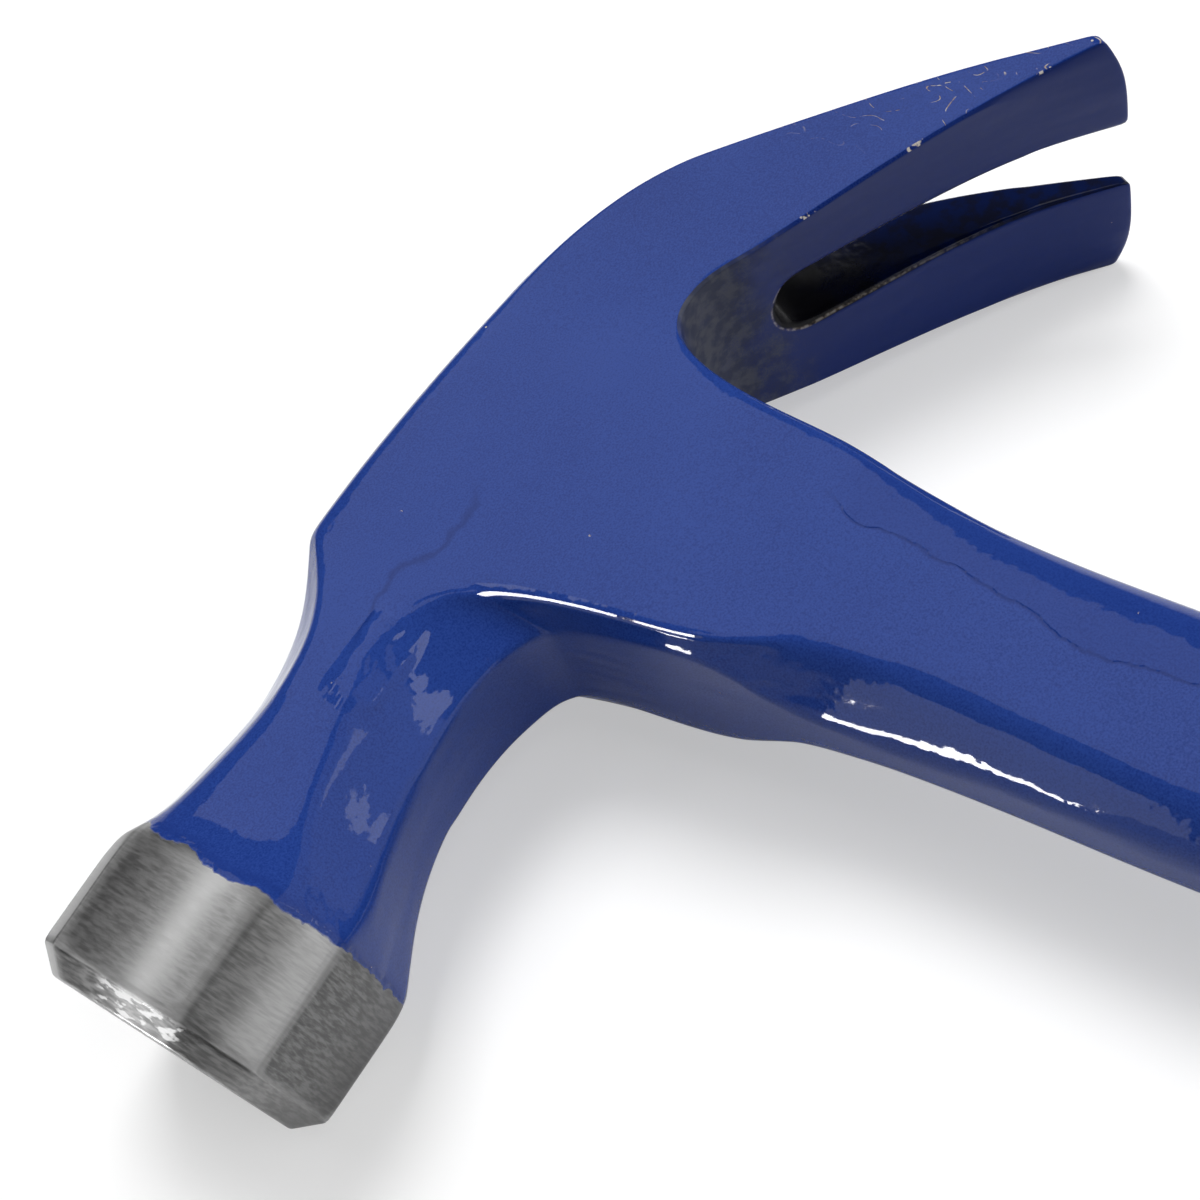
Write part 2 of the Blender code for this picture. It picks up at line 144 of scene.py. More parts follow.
def forging_cage():
    """Points, quads, edges and edge weights of the forging's control cage.

    The head is a grid of sections by ring points. Under the cheek its rings stop at the side, and the grid
    of the shank hangs from that open edge. The far half is the near one with z reversed, sharing the points
    of the mid-plane.
    """
    head_points = half_rings(HEAD, 0)
    head_points[TIP, :, :2] += TIP_LEADS[:, None] * TIP_RUN
    face_middle = np.array([(0.0, FACE_HALF - FACE_CORNER, 0.0), (0.0, FACE_CORNER - FACE_HALF, 0.0)])
    points = np.concatenate([head_points.reshape(-1, 3), half_rings(SHANK, 2).reshape(-1, 3), face_middle])
    head = np.arange(len(HEAD) * 6).reshape(-1, 6)
    shank = head.size + np.arange(len(SHANK) * 8).reshape(-1, 8)
    middle = head.size + shank.size + np.arange(2)
    rim = np.concatenate([head[THROAT, :2:-1], head[THROAT + 1:CROTCH, 3], head[CROTCH, 3:]])
    shank = np.vstack([rim, shank])
    slotted = head[SLOT_END:]
    face, tip, tang = head[0], head[TIP], shank[-1]
    quads = np.concatenate([
        strips(head[:THROAT + 1]), strips(head[THROAT:CROTCH + 1, :4]), strips(head[CROTCH:]),
        strips(shank)[:, ::-1], strips(slotted[:, [5, 0]]),
        [(middle[0], face[2], face[1], face[0]), (middle[1], face[3], face[2], middle[0]),
         (face[5], face[4], face[3], middle[1]),
         (tip[0], tip[1], tip[4], tip[5]), (tip[1], tip[2], tip[3], tip[4]),
         (tang[7], tang[6], tang[1], tang[0]), (tang[6], tang[5], tang[2], tang[1]),
         (tang[5], tang[4], tang[3], tang[2])]])
    shank_edge = np.concatenate([[EASED], SHANK[:-1, 13]])
    held = [
        (along(head[:THROAT + 1], [1, 2, 3, 4]), HEAD[:THROAT, 13]),
        (along(head[THROAT:CROTCH + 1], [1, 2]), HEAD[THROAT:CROTCH, 13]),
        (along(head[CROTCH:TIP], [1, 2, 3, 4]), HEAD[CROTCH:TIP - 1, 13]),
        (along(head[TIP - 1:], [2, 3]), HEAD[TIP - 1:-1, 13]),
        (along(slotted, [0, 5]), HEAD[SLOT_END:-1, 13]),
        (along(shank, [1, 2, 5, 6]), shank_edge),
        (around(face), GROUND),
        (around(head[1]), GROUND),
        (around(head[SHOULDER]), FORGED),
        (around(head[THROAT, :3]), FORGED),
        (around(tip), WORN),
        (around(tip[[0, 5]]), CRISP),
        (around(tang), CRISP),
    ]
    edges = np.concatenate([pairs.reshape(-1, 2) for pairs, _ in held])
    weights = np.concatenate([
        np.repeat(np.broadcast_to(weight, len(pairs)), pairs.size // len(pairs) // 2)
        for pairs, weight in held])
    own = np.arange(len(points))
    twin = np.where(np.abs(points[:, 2]) < 1e-6, own, own + len(points))
    points = np.concatenate([points, points * (1, 1, -1)])
    quads = np.concatenate([quads, twin[quads][:, ::-1]])
    edges = np.concatenate([edges, twin[edges]])
    weights = np.tile(weights, 2)
    used, numbers = np.unique(quads, return_inverse=True)
    renumber = np.zeros(len(points), int)
    renumber[used] = np.arange(len(used))
    return points[used], numbers.reshape(-1, 4), renumber[edges], weights


def put_in_scene(name, points, faces):
    """A smooth mesh piece with its millimetre points set out from the poll's axis."""
    mesh = bpy.data.meshes.new(name)
    mesh.from_pydata((points * MM + np.array(POLL_AXIS)).tolist(), [], faces)
    mesh.shade_smooth()
    piece = bpy.data.objects.new(name, mesh)
    bpy.context.scene.collection.objects.link(piece)
    return piece


def hold_edges(mesh, edges, weights):
    """Set how crisp the given edges stay when the mesh is subdivided."""
    ends = np.empty(len(mesh.edges) * 2, int)
    mesh.edges.foreach_get("vertices", ends)
    keys = np.sort(ends.reshape(-1, 2), axis=1) @ (len(mesh.vertices), 1)
    order = np.argsort(keys)
    places = order[np.searchsorted(keys[order], np.sort(edges, axis=1) @ (len(mesh.vertices), 1))]
    values = np.zeros(len(mesh.edges), np.float32)
    values[places] = weights
    mesh.attributes.new("crease_edge", "FLOAT", "EDGE").data.foreach_set("value", values)


def subdivide(piece, levels):
    """Round a control cage into its limit surface."""
    rounding = piece.modifiers.new("rounding", "SUBSURF")
    rounding.levels = levels
    rounding.render_levels = levels


cage_points, cage_quads, cage_edges, cage_weights = forging_cage()
forging = put_in_scene("forged_head_and_shank", cage_points, cage_quads.tolist())
hold_edges(forging.data, cage_edges, cage_weights)
subdivide(forging, 4)


def wired(tree, kind, inputs=None, **properties):
    """A shader node with its properties set, and each input set to a value or linked to an output."""
    node = tree.nodes.new(kind)
    for name, value in properties.items():
        setattr(node, name, value)
    for key, value in (inputs or {}).items():
        if isinstance(value, bpy.types.NodeSocket):
            tree.links.new(value, node.inputs[key])
        else:
            node.inputs[key].default_value = value
    return node


def sums(tree, operation, first, second=0.0, clamp=False):
    """One sum of two numbers, or of one where the operation takes no second."""
    inputs = {0: first, 1: second}
    return wired(tree, "ShaderNodeMath", inputs, operation=operation, use_clamp=clamp).outputs[0]


def product(tree, first, *others):
    """Several numbers multiplied together."""
    for other in others:
        first = sums(tree, "MULTIPLY", first, other)
    return first


def total(tree, first, *others):
    """Several numbers added together."""
    for other in others:
        first = sums(tree, "ADD", first, other)
    return first


def between(tree, value, low, high, start=0.0, end=1.0):
    """A smooth step of a number: start at low or below, end at high or beyond."""
    inputs = {"Value": value, "From Min": low, "From Max": high, "To Min": start, "To Max": end}
    return wired(tree, "ShaderNodeMapRange", inputs, interpolation_type="SMOOTHSTEP").outputs["Result"]


def near_line(tree, value, level, reach):
    """1 where a number is at a level, fading to 0 at a reach on either side."""
    away = sums(tree, "ABSOLUTE", sums(tree, "SUBTRACT", value, level))
    return between(tree, away, 0.0, reach, 1.0, 0.0)


def noise(tree, place, size, detail=2.0, stretch=(1.0, 1.0, 1.0)):
    """Soft noise from 0 to 1, with features of about a size in millimetres that grow with the stretch."""
    scale = [1 / (size * share) for share in stretch]
    scaled = wired(tree, "ShaderNodeMapping", {"Vector": place, "Scale": scale}).outputs[0]
    inputs = {"Vector": scaled, "Scale": 1.0, "Detail": detail}
    return wired(tree, "ShaderNodeTexNoise", inputs).outputs["Fac"]


def wobble(tree, place, size, detail, swing):
    """Noise about zero that swings by a distance in millimetres."""
    return product(tree, sums(tree, "SUBTRACT", noise(tree, place, size, detail), 0.5), swing)


def mixed(tree, share, first, second):
    """A number between two numbers."""
    return wired(tree, "ShaderNodeMix", {0: share, 2: first, 3: second}).outputs[0]


def turned(tree, share, first, second):
    """A direction between two directions."""
    return wired(tree, "ShaderNodeMix", {0: share, 4: first, 5: second}, data_type="VECTOR").outputs[1]


def tinted(tree, share, first, second):
    """A colour between two colours."""
    ends = [end if isinstance(end, bpy.types.NodeSocket) else (*end, 1.0) for end in (first, second)]
    return wired(tree, "ShaderNodeMix", {0: share, 6: ends[0], 7: ends[1]}, data_type="RGBA").outputs[2]


def bumped(tree, height):
    """The direction that the surface faces with a relief on it, whose height is in millimetres."""
    return wired(tree, "ShaderNodeBump", {"Height": height, "Distance": MM, "Strength": 1.0}).outputs[0]


def millimetres(tree):
    """Place on the hammer in millimetres from the poll's axis at the striking face."""
    coordinates = tree.nodes.new("ShaderNodeTexCoord").outputs["Object"]
    inputs = {"Vector": coordinates, "Location": -POLL_AXIS / MM, "Scale": (1 / MM,) * 3}
    return wired(tree, "ShaderNodeMapping", inputs).outputs[0]


def slanted(tree, place, start, direction):
    """Distance of a place beyond a start point, along a direction."""
    offset = wired(tree, "ShaderNodeVectorMath", {0: place, 1: start}, operation="SUBTRACT").outputs[0]
    along_it = {0: offset, 1: Vector(direction).normalized()}
    return wired(tree, "ShaderNodeVectorMath", along_it, operation="DOT_PRODUCT").outputs["Value"]


def new_finish(name):
    """A material, its node tree and its one shader."""
    material = bpy.data.materials.new(name)
    material.use_nodes = True
    return material, material.node_tree, material.node_tree.nodes["Principled BSDF"]


ENAMEL_BLUE = (0.0150, 0.043, 0.214)
ENAMEL_SHADOW = (0.007, 0.024, 0.150)
ENAMEL_DEEP = (0.003, 0.013, 0.095)
UNDERSIDE_SHADE_BLUE = (0.002, 0.014, 0.112)
SMUDGE_GREY = (0.036, 0.040, 0.056)
SMUDGE_PALE = (0.075, 0.078, 0.084)
SLOT_SHADE_BLUE = (0.001, 0.005, 0.036)
SLOT_GRIME_AND_SHADE = (0.003, 0.003, 0.005)
CHIP_TAN = (0.36, 0.27, 0.17)
CHIP_PALE = (0.52, 0.48, 0.42)
STEEL_GREY = (0.33, 0.33, 0.33)
STEEL_DARK = (0.25, 0.25, 0.25)
STEEL_DARK_REFLECTION = (0.07, 0.07, 0.07)
STEEL_BRIGHT_AND_HIGHLIGHT = (0.55, 0.55, 0.55)
PAINT_EDGE = 16.6
SHANK_RUN, SHANK_RUN_BEND, SHANK_RUN_SLOPE = 74.8, -63.4, 0.19
CHEEK_RUN, CHEEK_RUN_SLOPE = 9.4, -0.14
SLOT_FLOOR = (113.4, 1.6, 0.0)
SLOT_WAY = (0.883, -0.470, 0.0)
SLOT_HALF, SLOT_RIM = 4.4, 4.75
FLAT_TILT = 0.35
EDGE_FLAT = (-0.823, -0.135, 0.549)
EDGE_FLAT_HIGH = (-0.584, -0.044, 0.810)


def forging_finish():
    """Glossy enamel with waves, runs, chips and grime, ending in a wavy line at the brushed bare poll, with
    painted shade under the claws and in the nail slot, and painted highlights and dark reflections on the
    poll.
    """
    material, tree, shader = new_finish("blue_enamel_and_ground_steel")
    place = millimetres(tree)
    x, y, z = wired(tree, "ShaderNodeSeparateXYZ", {0: place}).outputs
    surface = tree.nodes.new("ShaderNodeNewGeometry").outputs
    face_x, face_y, face_z = wired(tree, "ShaderNodeSeparateXYZ", {0: surface["Normal"]}).outputs
    sideways = sums(tree, "ABSOLUTE", face_z)
    off_middle = sums(tree, "ABSOLUTE", z)
    side = sums(tree, "SIGN", z)
    speckle = noise(tree, place, 0.22, 2.0)
    blotch = noise(tree, place, 4.0, 4.0)
    crumbs = noise(tree, place, 0.7, 2.0)

    # The enamel stops at the poll in a soft wavy line that sags into a few drips.
    edge_waves = total(tree, wobble(tree, place, 8.0, 2.0, 4.5), wobble(tree, place, 1.4, 2.0, 0.9))
    from_edge = sums(tree, "SUBTRACT", total(tree, x, edge_waves), PAINT_EDGE)
    painted = between(tree, from_edge, -0.12, 0.12)
    thick_rim = near_line(tree, from_edge, 0.7, 0.9)

    # Film of uneven thickness: clouds, fine speckle, and wandering lines where one run lies over another.
    cloud = noise(tree, place, 28.0, 4.0)
    film = total(tree, product(tree, cloud, 0.3), product(tree, speckle, 0.7))
    colour = tinted(tree, between(tree, film, 0.3, 0.66), ENAMEL_SHADOW, ENAMEL_BLUE)
    wander = wobble(tree, place, 9.0, 4.0, 9.0)
    above_bend = sums(tree, "MAXIMUM", sums(tree, "SUBTRACT", y, SHANK_RUN_BEND), 0.0)
    shank_run_x = total(tree, product(tree, above_bend, SHANK_RUN_SLOPE), SHANK_RUN)
    from_shank_run = total(tree, sums(tree, "SUBTRACT", x, shank_run_x), product(tree, wander, 0.6))
    on_shank = between(tree, y, -33.0, -40.0)
    thicker = product(tree, on_shank, between(tree, from_shank_run, 0.0, 0.3))
    colour = tinted(tree, product(tree, thicker, 0.3), colour, ENAMEL_SHADOW)
    cheek_run_y = total(tree, product(tree, x, CHEEK_RUN_SLOPE), CHEEK_RUN)
    from_cheek_run = total(tree, sums(tree, "SUBTRACT", y, cheek_run_y), wander)
    on_cheek = product(tree, between(tree, x, 42.0, 47.0), between(tree, x, 68.0, 63.0),
                       between(tree, off_middle, 10.5, 11.2))
    shank_line = product(tree, on_shank, near_line(tree, from_shank_run, 0.0, 0.35))
    cheek_line = product(tree, on_cheek, near_line(tree, from_cheek_run, 0.0, 0.7))
    run_lines = sums(tree, "ADD", shank_line, cheek_line, clamp=True)
    colour = tinted(tree, product(tree, run_lines, 0.5), colour, ENAMEL_DEEP)
    colour = tinted(tree, product(tree, thick_rim, 0.5), colour, ENAMEL_SHADOW)

    # Undersides of the claws have painted shade in their colour and a duller gloss, and are rubbed grey
    # with dirt in the crotch.
    shaded_underside = product(tree, between(tree, face_y, -0.25, -0.6), between(tree, x, 90.0, 96.0))
    # Painted shade: the claws' undersides are darkened to a deeper blue.
    colour = tinted(tree, product(tree, shaded_underside, 0.9), colour, UNDERSIDE_SHADE_BLUE)
    dirty = total(tree, blotch, product(tree, speckle, 0.5))
    smudge_x = total(tree, x, product(tree, dirty, 14.0))
    smudge = product(tree, shaded_underside, between(tree, smudge_x, 120.0, 109.0))
    soot = tinted(tree, between(tree, noise(tree, place, 1.8, 4.0), 0.4, 0.62), SMUDGE_GREY, SMUDGE_PALE)
    colour = tinted(tree, product(tree, smudge, 0.85), colour, soot)

    # The walls of the nail slot are painted dark blue as shade towards the tips, and black round its end,
    # which is grime and painted shade together.
    claw = between(tree, x, 96.0, 102.0)
    beyond = slanted(tree, place, SLOT_FLOOR, SLOT_WAY)
    round_end = sums(tree, "MAXIMUM", sums(tree, "SUBTRACT", SLOT_HALF, beyond), 0.0)
    from_slot = sums(tree, "SQRT", total(tree, product(tree, z, z), product(tree, round_end, round_end)))
    inward = between(tree, product(tree, side, face_z), -0.4, -0.6)
    in_slot = sums(tree, "MAXIMUM", between(tree, from_slot, SLOT_RIM, SLOT_HALF), inward)
    in_slot = product(tree, in_slot, claw)
    # Painted shade: the slot walls are darkened to a deep blue.
    colour = tinted(tree, in_slot, colour, SLOT_SHADE_BLUE)
    grime_and_shade_x = total(tree, x, product(tree, dirty, 16.0))
    grime_and_shade = product(tree, in_slot, between(tree, grime_and_shade_x, 138.0, 124.0))
    stains = product(tree, in_slot, between(tree, noise(tree, place, 2.2, 4.0), 0.42, 0.6, 0.0, 0.6))
    # Grime and painted shade together blacken the slot round its end.
    colour = tinted(tree, sums(tree, "MAXIMUM", grime_and_shade, stains), colour, SLOT_GRIME_AND_SHADE)

    # Edges of the claws are rubbed through in short stretches, and the upper side has a cluster of chips.
    corner = product(tree, between(tree, face_y, -0.12, -0.3), between(tree, sideways, 0.3, 0.5))
    stretches = between(tree, total(tree, blotch, product(tree, crumbs, 0.7)), 1.01, 1.06)
    rubbed = product(tree, corner, claw, between(tree, off_middle, 9.0, 11.0), stretches)
    slot_rim = product(tree, near_line(tree, from_slot, 4.72, 0.22), between(tree, face_y, -0.2, -0.5),
                       claw, between(tree, crumbs, 0.3, 0.6), between(tree, x, 134.0, 112.0, 0.0, 0.5))
    rubbed = sums(tree, "ADD", rubbed, slot_rim, clamp=True)
    scratch = near_line(tree, noise(tree, place, 2.1, 0.0, (0.8, 1.4, 1.0)), 0.5, 0.022)
    gaps = between(tree, noise(tree, place, 1.0, 1.0), 0.47, 0.55)
    cluster = product(tree, between(tree, noise(tree, place, 5.0, 1.0), 0.40, 0.50),
                      between(tree, x, 118.0, 128.0), between(tree, face_z, 0.7, 0.9),
                      between(tree, off_middle, 8.0, 9.0))
    chips = product(tree, scratch, gaps, cluster)
    dots = wired(tree, "ShaderNodeTexVoronoi", {"Vector": place, "Scale": 0.16}).outputs["Distance"]
    specks = product(tree, between(tree, dots, 0.03, 0.018), between(tree, crumbs, 0.45, 0.55))
    worn = sums(tree, "ADD", total(tree, rubbed, chips), specks, clamp=True)
    primer = tinted(tree, between(tree, crumbs, 0.4, 0.6), CHIP_TAN, CHIP_PALE)
    colour = tinted(tree, product(tree, worn, 0.9), colour, primer)

    # Bare poll: its flats are ground across, with a painted highlight down the middle of the side flats and
    # painted dark reflections on the bevel and the other flats; its ridges are partly burnished and partly
    # a painted highlight, and the bevel at the face is scuffed.
    brush = noise(tree, place, 0.3, 3.0, (1.0, 6.0, 6.0))
    steel = tinted(tree, between(tree, brush, 0.3, 0.7), STEEL_DARK, STEEL_GREY)
    bevel = between(tree, face_x, -0.3, -0.5)
    ridge = product(tree, between(tree, surface["Pointiness"], 0.505, 0.53),
                    sums(tree, "SUBTRACT", 1.0, bevel))
    round_poll = total(tree, y, off_middle)
    painted_dark_reflection = product(tree, bevel, 0.7)
    dark_reflection_band = product(tree, between(tree, round_poll, -3.0, 3.0), between(tree, face_y, -0.2, -0.5), 0.75)
    for dark_reflection_flat in (between(tree, sums(tree, "ABSOLUTE", face_y), 0.85, 0.95),
                      between(tree, face_y, 0.4, 0.6), dark_reflection_band):
        painted_dark_reflection = sums(tree, "MAXIMUM", painted_dark_reflection, dark_reflection_flat)
    painted_dark_reflection = product(tree, painted_dark_reflection, between(tree, brush, 0.3, 0.7, 0.95, 0.65))
    # Painted dark reflections on the bevel and on the flats that face up, down and aslant.
    steel = tinted(tree, painted_dark_reflection, steel, STEEL_DARK_REFLECTION)
    scuffs = product(tree, bevel, between(tree, z, 12.0, 13.0),
                     between(tree, y, -11.0, -8.0), between(tree, y, 3.0, 1.0),
                     between(tree, noise(tree, place, 0.8, 3.0, (1.0, 2.5, 1.0)), 0.5, 0.6))
    burnished_and_highlight = product(tree, ridge, between(tree, round_poll, 2.0, 0.0), 0.45)
    painted_highlight_band = product(tree, near_line(tree, y, -3.0, 3.4), between(tree, sideways, 0.85, 0.95), 0.45)
    scuffs_and_highlights = sums(tree, "ADD", burnished_and_highlight, painted_highlight_band, clamp=True)
    scuffs_and_highlights = sums(tree, "ADD", scuffs_and_highlights, product(tree, scuffs, 0.5), clamp=True)
    # Painted highlights down the side flats and along the ridges, which are partly burnished, together with
    # the real scuffs.
    steel = tinted(tree, scuffs_and_highlights, steel, STEEL_BRIGHT_AND_HIGHLIGHT)
    tree.links.new(tinted(tree, painted, steel, colour), shader.inputs["Base Color"])
    tree.links.new(sums(tree, "SUBTRACT", 1.0, painted), shader.inputs["Metallic"])

    # Gloss: dirt and wear dull the enamel, and scuffs and ridges dull the steel.
    steel_gloss = total(tree, between(tree, brush, 0.2, 0.8, 0.28, 0.38), product(tree, scuffs, 0.2),
                        product(tree, ridge, 0.4))
    dirt = total(tree, product(tree, grime_and_shade, 0.4), smudge, product(tree, shaded_underside, 0.5))
    dirt = sums(tree, "ADD", dirt, worn, clamp=True)
    enamel_gloss = total(tree, between(tree, speckle, 0.3, 0.8, 0.03, 0.07), product(tree, dirt, 0.5))
    tree.links.new(mixed(tree, painted, steel_gloss, enamel_gloss), shader.inputs["Roughness"])

    # Relief in millimetres: the paint lies in long low waves, with laps, a thick rim and sunken chips.
    wave = product(tree, noise(tree, place, 3.6, 1.0, (4.0, 4.0, 1.0)), 0.30)
    peel = product(tree, noise(tree, place, 1.7, 1.5), 0.036)
    beside_throat = product(tree, between(tree, x, 36.0, 40.0), between(tree, x, 51.0, 48.0),
                            between(tree, y, 3.0, 1.0), between(tree, y, -4.6, -3.0))
    ripple = product(tree, noise(tree, place, 3.0, 2.0, (1.6, 1.0, 1.0)), beside_throat, 0.4)
    lap = product(tree, thicker, 0.05)
    rim_step = product(tree, between(tree, from_edge, 0.0, 0.8), 0.12)
    paint_relief = bumped(tree, total(tree, wave, peel, lap, rim_step, ripple, product(tree, worn, -0.05)))

    # A narrow flat is ground along the edge of the throat, a little steeper at its lower end.
    upper_run = between(tree, y, -23.5, -22.5)
    flat_x, flat_y, flat_z = [mixed(tree, upper_run, *ends) for ends in zip(EDGE_FLAT, EDGE_FLAT_HIGH)]
    flat_ways = {0: flat_x, 1: flat_y, 2: product(tree, side, flat_z)}
    flat_way = wired(tree, "ShaderNodeCombineXYZ", flat_ways).outputs[0]
    first_tilt = sums(tree, "SUBTRACT", face_x, between(tree, y, -26.0, -18.0, -0.38, -0.35))
    last_tilt = sums(tree, "SUBTRACT", face_x, between(tree, y, -26.0, -18.0, -0.62, -0.60))
    on_flat = product(tree, between(tree, first_tilt, 0.03, -0.03), between(tree, last_tilt, -0.03, 0.03),
                      between(tree, face_y, -0.3, -0.26),
                      between(tree, y, -33.0, -31.0), between(tree, y, -5.0, -7.5),
                      between(tree, x, 51.0, 53.0), between(tree, x, 62.0, 61.0))
    paint_relief = turned(tree, on_flat, paint_relief, flat_way)

    # The ground flats of the poll are a little crowned, and the striking face is hammered uneven.
    grain = product(tree, brush, 0.006)
    off_axis = {0: place, 1: (0.0, 1.0, 1.0)}
    off_axis = wired(tree, "ShaderNodeVectorMath", off_axis, operation="MULTIPLY").outputs[0]
    from_axis = wired(tree, "ShaderNodeVectorMath", {0: off_axis}, operation="LENGTH").outputs["Value"]
    flats_relief = bumped(tree, sums(tree, "SUBTRACT", grain, product(tree, from_axis, FLAT_TILT)))
    face_relief = bumped(tree, total(tree, product(tree, noise(tree, place, 6.0, 3.0), 0.06), grain))
    steel_relief = turned(tree, between(tree, face_x, -0.82, -0.94), flats_relief, face_relief)
    tree.links.new(turned(tree, painted, steel_relief, paint_relief), shader.inputs["Normal"])
    shader.inputs["Specular IOR Level"].default_value = 0.2
    return material


forging.data.materials.append(forging_finish())
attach(forging, "root")
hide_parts("head_and_shank")

# Grip liner
# A hard plastic sleeve with a closed end, moulded in one piece and glued over the tang. Only its collar
# shows, a rounded step that the soft sleeve stops against.
GRIP_CENTRE = 71.9
GRIP_ROUNDNESS = 2.5
LINER_FOOT, COLLAR_BACK, COLLAR_FRONT = -313.8, -158.0, -153.0


def rounded_path(rows, spacing, reach):
    """Even points along the straight runs between rows, with every corner rounded and the two ends kept.

    Each point is the mean of its neighbours within reach along the path, weighted by a raised cosine.
    """
    run = np.concatenate([[0.0], np.cumsum(np.linalg.norm(np.diff(rows, axis=0), axis=1))])
    even = np.linspace(0.0, run[-1], int(run[-1] / spacing) + 1)
    path = np.column_stack([np.interp(even, run, column) for column in np.transpose(rows)])
    count = int(reach / spacing)
    window = np.hanning(2 * count + 3)[1:-1]
    padded = np.pad(path, ((count, count), (0, 0)), mode="reflect", reflect_type="odd")
    return np.column_stack([np.convolve(column, window / window.sum(), "valid") for column in padded.T])


def ovals(stations, sides):
    """Rings round the grip's axis, one for each station of y, half width and half thickness.

    At angle t a ring point lies at the half width times cos t and the half thickness times sin t. Both are
    raised to the power of two over the roundness with their signs kept, which makes the oval fuller than an
    ellipse.
    """
    turn = np.linspace(0.0, 2 * np.pi, sides, endpoint=False)
    full = np.stack([np.cos(turn), np.sin(turn)], axis=1)
    full = np.sign(full) * np.abs(full) ** (2 / GRIP_ROUNDNESS)
    flat = stations[:, None, 1:] * full
    ys = np.broadcast_to(stations[:, None, :1], flat[..., :1].shape)
    return np.concatenate([flat[..., :1] + GRIP_CENTRE, ys, flat[..., 1:]], axis=2)


def closed_skin(rings):
    """Points and faces of a closed skin through rings, with a middle point that closes each end."""
    count, sides = rings.shape[:2]
    points = np.concatenate([rings.reshape(-1, 3), rings[[0, -1]].mean(axis=1)])
    numbers = np.arange(count * sides).reshape(count, sides)
    numbers = np.column_stack([numbers, numbers[:, 0]])
    first, last = count * sides, count * sides + 1
    start = np.column_stack([numbers[0, :-1], numbers[0, 1:], np.full(sides, first)])
    end = np.column_stack([numbers[-1, 1:], numbers[-1, :-1], np.full(sides, last)])
    return points, strips(numbers).tolist() + start.tolist() + end.tolist()


foot = rounded_path(np.array([
    (LINER_FOOT, 4.0, 3.0), (LINER_FOOT, 9.7, 7.2), (-300.0, 9.7, 7.2)]), 0.25, 1.5)
collar = rounded_path(np.array([
    (-170.0, 9.7, 7.2), (COLLAR_BACK, 9.7, 7.2), (COLLAR_BACK, 11.8, 9.3), (COLLAR_FRONT, 11.8, 9.3),
    (COLLAR_FRONT, 9.2, 6.9), (-166.0, 8.3, 5.8)]), 0.12, 0.9)
bore = np.array([(-240.0, 8.3, 5.8), (-311.7, 8.3, 5.8), (-311.7, 3.0, 2.0)])
liner_points, liner_faces = closed_skin(ovals(np.concatenate([foot, collar, bore]), 128))
liner = put_in_scene("moulded_liner", liner_points, liner_faces)


def liner_finish():
    """Satin black plastic with a fine moulded grain and pale rub marks."""
    material, tree, shader = new_finish("satin_liner_plastic")
    place = millimetres(tree)
    grain = noise(tree, place, 0.35, 3.0)
    rub = noise(tree, place, 3.0, 4.0, (3.0, 0.6, 3.0))
    colour = tinted(tree, between(tree, grain, 0.3, 0.7), (0.014, 0.014, 0.016), (0.024, 0.024, 0.026))
    colour = tinted(tree, between(tree, rub, 0.6, 0.75, 0.0, 0.25), colour, (0.10, 0.10, 0.10))
    tree.links.new(colour, shader.inputs["Base Color"])
    tree.links.new(between(tree, rub, 0.35, 0.7, 0.36, 0.52), shader.inputs["Roughness"])
    tree.links.new(bumped(tree, product(tree, grain, 0.02)), shader.inputs["Normal"])
    return material


liner.data.materials.append(liner_finish())
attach(liner, "root")
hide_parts("grip_liner")

# Grip sleeve
# A soft rubber sleeve moulded over the liner, swelling for the hand and flaring at the butt. Twelve grooves
# across its front and back give hold, and a thin seam shows where the two halves of the mould met.
GRIP_PROFILE = np.array([
    (-326.4, 9.0, 7.0), (-326.4, 14.6, 11.4), (-324.6, 17.9, 14.6), (-318.6, 19.2, 15.8),
    (-306.0, 17.6, 14.8), (-280.0, 15.6, 13.2), (-238.0, 15.4, 13.0), (-198.0, 16.4, 13.6),
    (-172.0, 14.8, 12.3), (-163.0, 13.2, 10.8), (-160.0, 12.3, 9.8),
])
GROOVE_FIRST, GROOVE_PITCH, GROOVE_COUNT = -186.0, 9.0, 12
GROOVE_DEPTH, GROOVE_FLOOR, GROOVE_MOUTH = 0.9, 1.8, 4.4
SEAM_HEIGHT, SEAM_WIDTH = 0.12, 0.5


def smooth(value, low, high):
    """A smooth step from 0 at low to 1 at high."""
    share = np.clip((value - low) / (high - low), 0.0, 1.0)
    return share * share * (3 - 2 * share)


